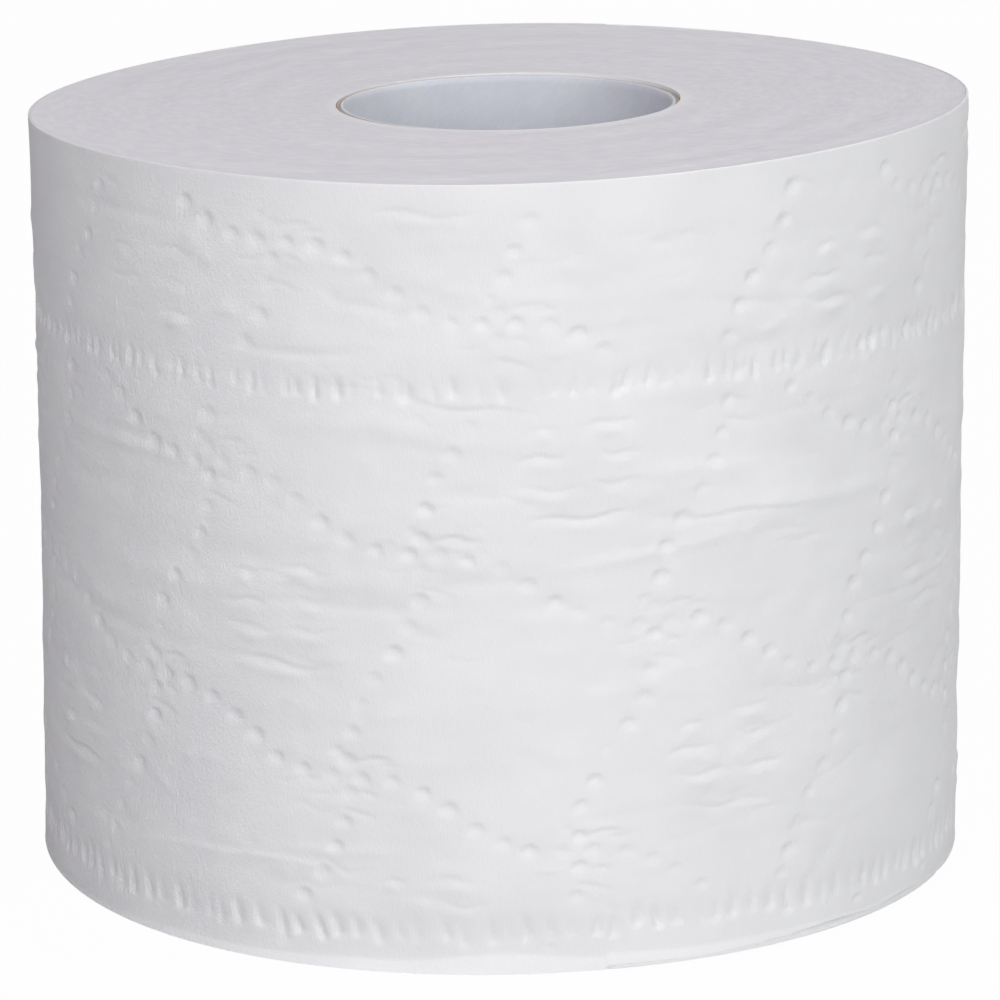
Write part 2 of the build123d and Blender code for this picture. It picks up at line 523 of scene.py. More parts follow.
    def sprigs(self, random: np.random.Generator) -> list[Marks]:
        """A sprig of level strokes in every second field, each the steep upper side of a low pillow.

        Args:
            random: the source of the small differences in place, turn and depth.

        Returns:
            A low wide rise under each sprig, then each stroke and its pillow.
        """
        along, up, row = self.crossings()
        chosen = row % 2 == 0
        along = along[chosen] + (self.side_run + self.side_rise) / 2 * self.column_width
        up = up[chosen] + (self.side_run - self.side_rise) / 2 * self.column_width
        strokes = np.array([
            # along, up, half length, half width, turn, depth, bow, wander
            [-4.4, 6.2, 1.6, 0.8, 4, 0.26, -0.5, 0.1],
            [3.8, 6.6, 3.0, 1.0, -3, 0.16, -0.3, 0.2],
            [-4.6, 2.2, 2.8, 0.8, 3, 0.24, -0.3, 0.2],
            [4.6, 2.6, 2.6, 0.9, -4, 0.16, 0.35, 0.25],
            [-3.4, -1.2, 3.6, 0.9, -2, 0.2, 0.3, 0.25],
            [5.0, -1.0, 3.0, 0.9, 3, 0.18, 0.3, 0.2],
            [0.4, -5.4, 5.8, 0.9, -2, 0.3, 0.1, 0.3],
        ])
        marks = [Marks.make(Press.SWELL, along, up, 9.5, 6.5, 0.0, -0.1)]
        for aside, above, half_length, half_width, turn, depth, bow, wander in strokes:
            place_along = along + aside + random.normal(0, 0.3, along.shape)
            place_up = up + above + random.normal(0, 0.25, along.shape)
            free = self.clear(place_up, 0.6)
            marks.append(Marks.make(Press.STROKE, place_along[free], place_up[free], half_length, half_width,
                                    (turn + random.normal(0, 2.5, along.shape))[free],
                                    (depth * random.uniform(0.45, 1.25, along.shape))[free], bow, wander))
            marks.append(Marks.make(Press.SWELL, place_along[free], place_up[free] - self.pillow_below,
                                    0.62 * half_length, self.pillow_half_width, turn,
                                    (-0.2 * random.uniform(0.3, 1.3, along.shape))[free], bow))
        return marks

    def ridges(self, random: np.random.Generator) -> list[Marks]:
        """Two bands of short upright ridges, unevenly spaced, and small wedges among the upper ones.

        The lower ridges lean most a little to the left of the front, by a bell curve. Right of the front
        the steep flank is on the other side, and the wedges stand there too.

        Args:
            random: the source of the differences from ridge to ridge.

        Returns:
            The ridges of each band, a low swell under each, and the wedges.
        """
        marks = []
        bands = (
            # height, count, half length, half width, least depth, most depth, unevenness, lean, its spread
            (self.band_heights[1], 158, 1.6, 0.42, 0.12, 0.56, 0.34, 0, 6),
            (self.band_heights[0], 142, 2.05, 0.6, 0.16, 0.6, 0.22, 14, 8),
        )
        for height, count, half_length, half_width, least, most, uneven, lean, spread in bands:
            pitch = self.winding.circumference / count
            number = np.arange(-10, count + 10)
            along = self.winding.tail_along + (number + random.uniform(-uneven, uneven, number.shape)) * pitch
            drift = np.interp(number, number[::6], random.normal(0, spread, number[::6].shape))
            turn = 90 + lean * np.exp(-((along + 10) / 24) ** 2) + drift
            turn = turn + random.normal(0, spread / 3, number.shape)
            up = height + random.normal(0, 0.22, number.shape) + 0.35 * np.sin(along / 17.0)
            size = random.uniform(0.75, 1.12, number.shape)
            depth = random.uniform(least, most, number.shape)
            width = half_width * random.uniform(0.7, 1.3, number.shape)
            width = np.where(along > self.turned_about, -width, width)
            marks.append(Marks.make(Press.RIDGE, along, up, half_length * size, width, turn, depth,
                                    random.normal(0, 0.35, number.shape)))
            marks.append(Marks.make(Press.SWELL, along, up, 2.4, 2.4, 0.0, 0.04))
        wedges = 46
        along = random.uniform(16, 88, wedges)
        up = self.band_heights[1] + random.normal(0.3, 0.7, wedges)
        marks.append(Marks.make(Press.RIDGE, along, up, random.uniform(0.7, 1.3, wedges), -0.42,
                                90 + random.normal(-14, 12, wedges), random.uniform(0.08, 0.22, wedges)))
        return marks

    def creases(self, random: np.random.Generator) -> list[Marks]:
        """Level creases: a few long ones in known places, and many small ones all over.

        Args:
            random: the source of the places and sizes of the small ones.

        Returns:
            Wide wrinkles, the long creases, narrow wrinkles, short strokes and shallow puckers.
        """
        longer = np.array([
            # along, up, half length, half width, turn, depth, bow, wander
            [30.0, 56.9, 10.0, 0.9, -3, 0.26, 0.15, 0.3],
            [66.0, 41.6, 17.0, 0.8, 0, 0.13, 0.0, 0.3],
            [-38.0, 13.6, 17.0, 1.8, 3, -0.16, -1.2, 0.2],
            [44.0, 33.0, 9.0, 1.0, -3, 0.1, 0.2, 0.3],
            [60.0, 35.2, 8.0, 0.9, 4, 0.1, 0.0, 0.3],
            [47.0, 21.5, 6.0, 1.0, 18, 0.1, 0.0, 0.2],
            [33.0, 18.5, 6.0, 1.0, -6, 0.12, 0.3, 0.2],
            [-4.0, 72.4, 7.0, 1.0, -5, 0.2, 0.2, 0.3],
            [-28.0, 50.2, 6.0, 1.0, 0, 0.11, 0.3, 0.3],
        ])
        start, end = self.winding.tail_along, self.winding.tail_along + self.winding.circumference
        wide, narrow, short, puckers = 110, 260, 300, 3200
        return [
            Marks.make(Press.SWELL, random.uniform(start, end, wide),
                       random.normal(48, 20, wide).clip(12, 92), random.uniform(7, 16, wide),
                       random.uniform(1.3, 2.6, wide), random.normal(0, 4, wide),
                       random.normal(0, 0.095, wide), random.normal(0, 0.3, wide)),
            Marks.make(Press.STROKE, *longer.T),
            Marks.make(Press.SWELL, random.uniform(start, end, narrow), random.uniform(9, 94, narrow),
                       random.uniform(4, 13, narrow), random.uniform(0.6, 1.4, narrow),
                       random.normal(0, 3, narrow), random.normal(0, 0.08, narrow),
                       random.normal(0, 0.3, narrow)),
            Marks.make(Press.STROKE, random.uniform(start, end, short), random.uniform(9, 94, short),
                       random.uniform(1.6, 5.0, short), random.uniform(0.6, 1.2, short),
                       random.normal(0, 8, short), random.uniform(-0.04, 0.13, short),
                       random.normal(0, 0.4, short), 0.3),
            Marks.make(Press.SWELL, random.uniform(start, end, puckers), random.uniform(3, 97, puckers),
                       random.uniform(1.0, 2.6, puckers), random.uniform(0.7, 1.3, puckers),
                       random.normal(0, 15, puckers), random.normal(0, 0.05, puckers)),
        ]

    def all_marks(self) -> list[Marks]:
        """Collects everything that is pressed into the web, in a fixed order.

        Returns:
            All the sets of marks.
        """
        random = np.random.default_rng(self.seed)
        kinds = (self.dots, self.crossing_marks, self.sprigs, self.ridges, self.creases)
        return [marks for kind in kinds for marks in kind(random)]

    def waves(self, along: Array, up: Array) -> Array:
        """Slight looseness of the web: a sum of slanting sine waves that are mostly level.

        Args:
            along: places along the wall, as a column.
            up: heights, as a row.

        Returns:
            Depth on the grid of both.
        """
        random = np.random.default_rng(self.seed + 1)
        count = 26
        turns = random.integers(0, 7, count)
        cycles = random.uniform(2.0, 10.0, count)
        phase = random.uniform(0, 2 * np.pi, count)
        size = 0.016 / np.sqrt(cycles / 2)
        lean = random.choice([-1, 1], count)
        total = np.zeros(np.broadcast_shapes(along.shape, up.shape))
        for n, k, start, amount, way in zip(turns, cycles, phase, size, lean):
            total += amount * np.sin(2 * np.pi * (n * way * along / self.winding.circumference
                                                  + k * up / self.winding.web_width) + start)
        return total


# The roll's sub-assemblies


@dataclass
class OuterTurn:
    """The outer turn of the web, as one closed thin piece for each whole or cut sheet."""

    stance: Stance = Stance()
    embossing: Embossing = Embossing()
    column_step: float = 0.42
    row_step: float = 0.28
    rim_round: float = 0.14
    inner_depth: float = 1.8
    short_by: float = 0.5
    short_steps: tuple[tuple[float, float], ...] = ((34.4, 0.25), (38.9, 0.2))
    short_fade: tuple[float, float] = (60.0, 18.0)
    flare_slopes: tuple[float, float] = (0.15, 0.49)
    flare_fade: float = 6.0
    slit_depth: float = 0.01
    slit_width: float = 0.25
    slit_pitch: float = 2.4
    low_rows: tuple[float, ...] = (0.0, 0.12, 0.25, 0.4, 0.6, 0.8, 1.0, 1.2, 1.45, 1.7, 1.95, 2.2)
    edge_fade: float = 4.0
    calm_from: float = 1.2
    calm_low: float = 3.0
    calm_high: float = 2.0
    thin_below_top: float = 1.4
    thick_below_top: float = 2.2
    foot_rise: float = 2.0
    thick_rise: float = 3.2

    def lower_edge(self, along: Array) -> Array:
        """Height of the sheet's lower edge.

        Right of the front perforation it hangs short by smooth steps, rippled a little by two sine waves,
        and that fades again by a smooth step towards the side.

        Args:
            along: places along the wall.

        Returns:
            The height at each place.
        """
        start = self.stance.winding.perforation_along
        short = self.short_by * smooth((along - start) / 0.4)
        for place, more in self.short_steps:
            short = short + more * smooth((along - place) / 0.7)
        fade_from, fade_over = self.short_fade
        ripple = 1 + 0.12 * np.sin(along / 2.3) + 0.1 * np.sin(along / 5.1)
        return short * ripple * (1 - smooth((along - fade_from) / fade_over))

    def flare(self, along: Array, rise: Array) -> Array:
        """Depth near the lower edge: the web draws in above a strip, and flares out again below it.

        The strip is highest in front, by two bell curves, and uneven elsewhere. Its slope is steepest
        a little to the left of the front, by another bell. The depth grows evenly over the strip's
        height and fades above it by a wide bell.

        Args:
            along: places along the wall, as a column.
            rise: heights over the sheet's lower edge.

        Returns:
            Depth on the grid of both.
        """
        strip = 0.3 + 1.2 * np.exp(-((along + 4.0) / 46.0) ** 2) + 0.9 * np.exp(-((along + 1.0) / 8.0) ** 2)
        strip = strip + 0.1 * np.sin(along / 4.0) + 0.12 * np.sin(along / 11.0)
        share = rise / strip
        inward = np.where(share < 1, share, np.exp(-((rise - strip) / self.flare_fade) ** 2))
        least, most = self.flare_slopes
        slope = least + (most - least) * np.exp(-((along + 16.0) / 42.0) ** 2)
        return slope * strip * inward

    def perforation(self, along: Array, up: Array, edges: tuple[float, float]) -> Array:
        """Faint dashed groove at both ends of a sheet, where it was slit.

        Its section is a bell curve, and it is shallower in a dash where a sine wave of the height is low.

        Args:
            along: places along the wall, as a column.
            up: heights, as a row.
            edges: where the sheet starts and ends.

        Returns:
            Depth on the grid of both.
        """
        dash = 0.55 + 0.45 * (np.sin(2 * np.pi * up / self.slit_pitch) > -0.4)
        near = sum(np.exp(-((along - edge) / self.slit_width) ** 2) for edge in edges)
        return self.slit_depth * near * dash

    def rows(self) -> Array:
        """Sets out the heights of the outer side's points.

        Returns:
            Heights that are close together near the lower edge and even above it.
        """
        top = self.stance.winding.web_width - self.rim_round
        first = self.low_rows[-1] + self.row_step
        even = np.linspace(first, top, round((top - first) / self.row_step) + 1)
        return np.concatenate([self.low_rows, even])

    def sheet(self, name: str, start: float, end: float, marks: list[Marks]) -> bpy.types.Object:
        """Builds one sheet: a strip of the wall with its pressed outer side, thin at both rims.

        The outer side's radius is the wall's, less the marks and waves, which calm down by smooth steps
        towards both edges, and less the flare and the perforation. The marks are worked out on an even
        grid and read between its rows. The lower edge's shift fades to nothing over the lowest rows, by a
        square.

        Args:
            name: the piece's name.
            start: where it starts along the wall.
            end: where it ends.
            marks: all the marks of the web.

        Returns:
            The new object.
        """
        winding = self.stance.winding
        along = np.linspace(start, end, round((end - start) / self.column_step) + 1)
        even = np.arange(0, winding.web_width + self.row_step / 2, self.row_step)
        relief = Relief(along, even)
        for marks_of_kind in marks:
            relief.press(marks_of_kind)
        rows = self.rows()
        index = np.clip((rows / self.row_step).astype(int), 0, len(even) - 2)
        share = rows / self.row_step - index
        pressed = relief.depth[:, index] * (1 - share) + relief.depth[:, index + 1] * share

        place = along[:, None]
        edge = self.lower_edge(place)
        height = rows + edge * np.clip(1 - rows / self.edge_fade, 0, 1) ** 2
        calm = smooth((height - self.calm_from) / self.calm_low)
        calm = calm * smooth((winding.web_width - height) / self.calm_high)
        pressed = (pressed + self.embossing.waves(place, height)) * calm
        pressed = pressed + self.flare(place, height - edge) + self.perforation(place, height, (start, end))
        wall = winding.wall_radius(place)
        outer = wall - pressed

        thin, thick = winding.sheet_thickness, self.inner_depth
        bend = np.linspace(0, np.pi / 2, 4)[1:]
        rim_radius = outer[:, -1:] - self.rim_round * (1 - np.cos(bend))
        rim_height = winding.web_width - self.rim_round + self.rim_round * np.sin(bend) + 0 * place
        top = rim_height[:, -1:]
        foot = wall - thin - self.flare(place, self.foot_rise + 0 * place)
        inner_radius = np.concatenate([
            wall - thin, wall - thin, wall - thick, wall - thick, foot, outer[:, :1] - thin,
        ], axis=1)
        inner_height = np.concatenate([
            top, top - self.thin_below_top, top - self.thick_below_top,
            edge + self.thick_rise, edge + self.foot_rise, edge,
        ], axis=1)
        radius = np.concatenate([outer, rim_radius, inner_radius], axis=1)
        up = np.concatenate([height, rim_height, inner_height], axis=1)
        return carried_profile(name, self.stance, radius, winding.angle(place), up, around=False)

    def build(self, material: bpy.types.Material) -> None:
        """Builds the sheets from the tail on, once round the roll.

        Args:
            material: the finish of their face.
        """
        winding = self.stance.winding
        marks = self.embossing.all_marks()
        end_of_turn = winding.tail_along + winding.circumference
        sheets = math.ceil(winding.circumference / winding.sheet_length)
        edges = [winding.tail_along + i * winding.sheet_length for i in range(sheets)] + [end_of_turn]
        for i, (start, end) in enumerate(zip(edges[:-1], edges[1:])):
            piece = self.sheet(f"tissue_sheet_{i + 1}", start, end, marks)
            dress(piece, material, "tissue_roll")


@dataclass
class WoundBody:
    """All the turns under the outer one, as one closed ring with its two wound ends."""

    stance: Stance = Stance()
    columns: int = 480
    face_points: int = 42
    under_sheet: float = 0.33
    recess: float = 1.95
    foot_stretch: tuple[float, float] = (13.0, 78.0)
    foot_proud: tuple[float, float] = (0.64, -0.3)
    side_heights: tuple[float, ...] = (0.0, 0.12, 0.7, 1.2, 1.45, 2.1, 97.9, 98.6)
    groups: float = 4.3
    group_depth: float = 0.1
    lumps: int = 22
    lump_depth: float = 0.009
    seed: int = 11

    def end_depth(self, radius: Array, angle: Array, seed: int) -> Array:
        """How far the wound edges stand back from the end plane.

        Groups of turns stand proud and shy in a soft spiral: a sine wave of the share of the way out less
        the share of a turn. Low lumps run round the roll, a sum of sine waves of the angle and of the
        way out. Both settle to nothing at the core and at the rim by smooth steps.

        Args:
            radius: radius of each point.
            angle: angle of each point.
            seed: which end it is.

        Returns:
            Depth below the end plane.
        """
        winding = self.stance.winding
        span = winding.roll_radius - winding.first_turn_radius
        share = (radius - winding.first_turn_radius) / span
        spiral = self.groups * share - angle / (2 * np.pi)
        groups = 0.5 + 0.5 * np.sin(2 * np.pi * spiral)
        random = np.random.default_rng(self.seed + seed)
        lumps = np.zeros(np.broadcast_shapes(radius.shape, angle.shape))
        for _ in range(self.lumps):
            turns, cycles = random.integers(1, 14), random.uniform(0.5, 7.0)
            start = random.uniform(0, 6.28)
            lumps += self.lump_depth * np.sin(turns * angle + 2 * np.pi * (cycles * share) + start)
        settled = smooth(share / 0.06) * smooth((1 - share) / 0.04)
        return np.clip((self.group_depth * groups + lumps + 0.05) * settled, 0.0, 0.5)

    def build(self, edges: bpy.types.Material, side: bpy.types.Material) -> None:
        """Builds the ring: lower end outwards, foot, recess, upper end inwards, bore.

        The foot stands proud of the turns only where the outer sheet hangs short over it, by a smooth
        step up and one down along the wall.

        Args:
            edges: the finish of the two wound ends.
            side: the finish of the turn that shows under the outer sheet.
        """
        winding = self.stance.winding
        place = (winding.tail_along + np.arange(self.columns) / self.columns * winding.circumference)[:, None]
        angle = winding.angle(place)
        outer = winding.wall_radius(place)
        wall = outer - self.under_sheet
        top = winding.web_width
        foot_from, foot_to = self.foot_stretch
        out, back = self.foot_proud
        proud = out * smooth((place - foot_from) / 0.6) * (1 - smooth((place - foot_to + 6) / 6)) + back

        share = np.linspace(0, 1, self.face_points)[None, :]
        face = winding.first_turn_radius + (wall - winding.first_turn_radius) * share
        low = self.end_depth(face, angle, 1)
        high = top - self.end_depth(face, angle, 2)
        side_radius = (wall + proud - 0.04, wall + proud, wall + proud - 0.34, wall - 0.45, wall - 0.55,
                       wall - self.recess, wall - self.recess, wall)
        radius = np.concatenate([face, *side_radius, face[:, ::-1]], axis=1)
        up = np.concatenate([low, np.array(self.side_heights) + 0 * place, high[:, ::-1]], axis=1)
        piece = carried_profile("tissue_wound_body", self.stance, radius, angle, up, around=True)
        dress(piece, edges, "tissue_roll")
        piece.data.materials.append(side)
        finish = np.zeros(radius.shape, dtype=np.int32)
        finish[:, self.face_points - 1:-self.face_points] = 1
        piece.data.polygons.foreach_set("material_index", finish.reshape(-1))


@dataclass
class Core:
    """The board core: a brown outer ply and a pale inner ply, both wound in a spiral."""

    stance: Stance = Stance()
    bore_radius: float = 21.3
    ply_thickness: float = 0.45
    glue_line: float = 0.05
    shy: float = 0.4
    proudest: float = 190.0
    rim_nick: float = 0.1
    strip_width: float = 72.0
    seam_depth: float = 0.1
    seam_width: float = 0.4
    seam_start: float = 300.0
    wobble: float = 0.03
    columns: int = 300
    bore_points: int = 110

    def ply(self, name: str, inner: float, rows: int, groove: float) -> bpy.types.Object:
        """Builds one ply as a closed tube with nicked rims and a butt seam that climbs its bore.

        Its upper rim stands level with the paper on one side and a little shy of it on the other, by the
        cosine of the angle. The seam climbs evenly with the angle, in one turn by the strip's width times
        the cosine of its slant, and its groove is a bell curve. A low sine wave of angle and height bends
        the bore.

        Args:
            name: the piece's name.
            inner: inner radius.
            rows: points up the bore.
            groove: depth of the seam in the bore.

        Returns:
            The new object.
        """
        winding = self.stance.winding
        angle = (np.arange(self.columns) / self.columns * 2 * np.pi)[:, None]
        outer = inner + self.ply_thickness
        nick = self.rim_nick
        top = winding.web_width - self.shy * (0.5 - 0.5 * np.cos(angle - math.radians(self.proudest)))
        bore_up = nick + (top - 2 * nick) * np.linspace(1, 0, rows)
        turn_length = 2 * math.pi * inner
        climb = math.sqrt(turn_length ** 2 - self.strip_width ** 2) * self.strip_width / turn_length
        turns = bore_up / climb - (angle - math.radians(self.seam_start)) / (2 * np.pi)
        off_seam = (turns - np.rint(turns)) * self.strip_width
        bore = inner + groove * np.exp(-(off_seam / self.seam_width) ** 2)
        bore = bore + self.wobble * np.sin(3 * angle + bore_up / 9)
        ones = np.ones_like(angle)
        radius = np.concatenate([ones * (inner + nick), ones * (outer - nick), ones * outer, ones * outer,
                                 ones * (outer - nick), ones * (inner + nick), bore], axis=1)
        up = np.concatenate([0 * ones, 0 * ones, ones * nick, top - nick, top, top, bore_up], axis=1)
        return carried_profile(name, self.stance, radius, angle, up, around=True)

    def build(self, brown: bpy.types.Material, grey: bpy.types.Material) -> None:
        """Builds both plies, the inner one with points close enough for its seam.

        Args:
            brown: the finish of the outer ply.
            grey: the finish of the inner ply.
        """
        inner = self.ply("core_inner_ply_board", self.bore_radius, self.bore_points, self.seam_depth)
        dress(inner, grey, "core_inner_ply")
        outer_bore = self.bore_radius + self.ply_thickness + self.glue_line
        outer = self.ply("core_outer_ply_board", outer_bore, 3, 0.0)
        dress(outer, brown, "core_outer_ply")


# The finishes


@dataclass(frozen=True)
class TissueWall:
    """Creped bleached tissue, seen on its face: a matt, soft white with a fine grain of ribs and fibres.

    Ribs and fibres are drawn about two pixels of the picture wide, because finer ones would not show.
    """

    light: str = "#EFF0F0"
    shade: str = "#EAEBEC"
    rib_width: float = 0.24
    rib_length: float = 0.9
    rib_height: float = 0.13
    rib_share: float = 0.5
    fibre_size: float = 0.34
    rough_side: tuple[float, float] = (-54.0, -16.0)
    roughness: tuple[float, float] = (2.3, 0.55)
    cloud_size: float = 14.0

    def material(self) -> bpy.types.Material:
        """Builds the finish: ribs and fibres as bump, rougher on the left side, and a faint cloud of colour.

        The ribs' noise is squeezed to their width across and stretched to their length upwards.

        Returns:
            The finished material.
        """
        material, tree = new_material("creped_tissue_face")
        place = add_node(tree, "Attribute", attribute_name=STRAIGHT).outputs["Vector"]
        grain = (1 / self.rib_width, 1 / self.rib_width, 1 / self.rib_length)
        stretched = add_node(tree, "VectorMath", {0: place, 1: grain}, operation="MULTIPLY")
        ribs = add_node(tree, "TexNoise", {"Vector": stretched.outputs[0], "Scale": 1.0, "Detail": 2.0,
                                           "Roughness": 0.6})
        fibres = add_node(tree, "TexNoise", {"Vector": place, "Scale": 1 / self.fibre_size, "Detail": 3.0,
                                             "Roughness": 0.65})
        clouds = add_node(tree, "TexNoise", {"Vector": place, "Scale": 1 / self.cloud_size, "Detail": 2.0})
        height = add_node(tree, "Mix", {0: 1 - self.rib_share, 2: ribs.outputs[0], 3: fibres.outputs[0]},
                          data_type="FLOAT")
        side = add_node(tree, "SeparateXYZ", {0: place}).outputs[0]
        rough = add_node(tree, "MapRange", {"Value": side, "From Min": self.rough_side[0],
                                            "From Max": self.rough_side[1], "To Min": self.roughness[0],
                                            "To Max": self.roughness[1]}, interpolation_type="SMOOTHSTEP")
        raised = add_node(tree, "Math", {0: height.outputs[0], 1: rough.outputs[0]}, operation="MULTIPLY")
        blend = add_node(tree, "MapRange", {"Value": clouds.outputs[0], "From Min": 0.3, "From Max": 0.7})
        colour = add_node(tree, "Mix", {0: blend.outputs[0], 6: linear(self.light), 7: linear(self.shade)},
                          data_type="RGBA")
        matt_paper(tree, colour.outputs[2], raised.outputs[0], self.rib_height, roughness=0.95, shine=0.2)
        return material


@dataclass(frozen=True)
class TissueEdges:
    """The cut edges of the wound tissue: darker than its face, partly as duller cut edges and partly as
    painted shade that dims the whole end faces, with fine streaks that run with the turns.

    The fine streaks are one sheet apart and the broad ones a few sheets. A paler ring lies round the core.
    """

    # Both tones are partly the edges' own duller tone and partly painted shade, darkened so the ends look
    # dimmer than the wall.
    light: str = "#E9E9EB"
    shade: str = "#E2E1E6"
    halo: str = "#ECECED"
    turn_pitch: float = 0.3
    streak_pitch: float = 1.1
    streak_turns: float = 16.0
    streak_height: float = 0.08
    halo_start: float = 22.3
    halo_width: float = 2.2

    def material(self) -> bpy.types.Material:
        """Builds the finish: the noise is long round the roll and fine along the radius.

        Returns:
            The finished material.
        """
        material, tree = new_material("cut_tissue_edges")
        place = add_node(tree, "Attribute", attribute_name=STRAIGHT).outputs["Vector"]
        flat = add_node(tree, "VectorMath", {0: place, 1: (1.0, 1.0, 0.0)}, operation="MULTIPLY")
        radius = add_node(tree, "VectorMath", {0: flat.outputs[0]}, operation="LENGTH")
        heading = add_node(tree, "VectorMath", {0: flat.outputs[0]}, operation="NORMALIZE")
        drawn = add_node(tree, "VectorMath", {0: heading.outputs[0], "Scale": self.streak_turns},
                         operation="SCALE")
        streaks = []
        for pitch in (self.turn_pitch, self.streak_pitch):
            depth = add_node(tree, "Math", {0: radius.outputs["Value"], 1: 1 / pitch}, operation="MULTIPLY")
            lift = add_node(tree, "CombineXYZ", {2: depth.outputs[0]})
            vector = add_node(tree, "VectorMath", {0: drawn.outputs[0], 1: lift.outputs[0]}, operation="ADD")
            streaks.append(add_node(tree, "TexNoise", {"Vector": vector.outputs[0], "Scale": 1.0,
                                                       "Detail": 2.0}))
        height = add_node(tree, "Mix", {0: 0.45, 2: streaks[0].outputs[0], 3: streaks[1].outputs[0]},
                          data_type="FLOAT")
        blend = add_node(tree, "MapRange", {"Value": streaks[1].outputs[0], "From Min": 0.3, "From Max": 0.7})
        colour = add_node(tree, "Mix", {0: blend.outputs[0], 6: linear(self.light), 7: linear(self.shade)},
                          data_type="RGBA")
        near = add_node(tree, "MapRange", {"Value": radius.outputs["Value"], "From Min": self.halo_start,
                                           "From Max": self.halo_start + self.halo_width,
                                           "To Min": 1.0, "To Max": 0.0}, interpolation_type="SMOOTHSTEP")
        ringed = add_node(tree, "Mix", {0: near.outputs[0], 6: colour.outputs[2], 7: linear(self.halo)},
                          data_type="RGBA")
        matt_paper(tree, ringed.outputs[2], height.outputs[0], self.streak_height, roughness=1.0, shine=0.1)
        return material


@dataclass(frozen=True)
class Board:
    """Recycled paperboard: matt and felted, with short fibres that lie aslant to the tube.

    Single fibres are too fine to show, so the noise is drawn as coarse as the clumps that they lie in.
    """

    name: str
    light: str
    shade: str
    fleck: str
    fibre_width: float = 0.6
    fibre_length: float = 1.4
    twist: float = 0.045
    felt_height: float = 0.03
    cloud_size: float = 8.0
    dust: str = "#DCDCDE"
    dusty_side: tuple[float, float] = (0.0, 15.0)
    dusted: float = 0.65

    def material(self) -> bpy.types.Material:
        """Builds the finish: the noise is turned further with height, so the fibres climb aslant.

        The back of the tube is dusted with pale tissue fibres.

        Returns:
            The finished material.
        """
        material, tree = new_material(self.name)
        place = add_node(tree, "Attribute", attribute_name=STRAIGHT).outputs["Vector"]
        parts = add_node(tree, "SeparateXYZ", {0: place}).outputs
        back, height = parts[1], parts[2]
        angle = add_node(tree, "Math", {0: height, 1: self.twist}, operation="MULTIPLY")
        turned = add_node(tree, "VectorRotate", {"Vector": place, "Angle": angle.outputs[0]},
                          rotation_type="Z_AXIS")
        grain = (1 / self.fibre_width, 1 / self.fibre_width, 1 / self.fibre_length)
        drawn = add_node(tree, "VectorMath", {0: turned.outputs[0], 1: grain}, operation="MULTIPLY")
        fibres = add_node(tree, "TexNoise", {"Vector": drawn.outputs[0], "Scale": 1.0, "Detail": 3.0,
                                             "Roughness": 0.7})
        clouds = add_node(tree, "TexNoise", {"Vector": place, "Scale": 1 / self.cloud_size, "Detail": 4.0})
        both = add_node(tree, "Mix", {0: 0.5, 2: fibres.outputs[0], 3: clouds.outputs[0]}, data_type="FLOAT")
        blend = add_node(tree, "MapRange", {"Value": both.outputs[0], "From Min": 0.38, "From Max": 0.62})
        colour = add_node(tree, "Mix", {0: blend.outputs[0], 6: linear(self.light), 7: linear(self.shade)},
                          data_type="RGBA")
        flecks = add_node(tree, "MapRange", {"Value": fibres.outputs[0], "From Min": 0.62, "From Max": 0.72})
        flecked = add_node(tree, "Mix", {0: flecks.outputs[0], 6: colour.outputs[2], 7: linear(self.fleck)},
                           data_type="RGBA")
        share = add_node(tree, "MapRange", {"Value": back, "From Min": self.dusty_side[0],
                                            "From Max": self.dusty_side[1], "To Max": self.dusted})
        dusted = add_node(tree, "Mix", {0: share.outputs[0], 6: flecked.outputs[2], 7: linear(self.dust)},
                          data_type="RGBA")
        matt_paper(tree, dusted.outputs[2], fibres.outputs[0], self.felt_height, roughness=0.85, shine=0.3)
        return material


# The studio


@dataclass(frozen=True)
class SoftBox:
    """A round soft lamp, placed by its azimuth to the right of the camera and its elevation."""

    name: str
    azimuth: float
    elevation: float
    power: float
    colour: str = "#FFFFFF"


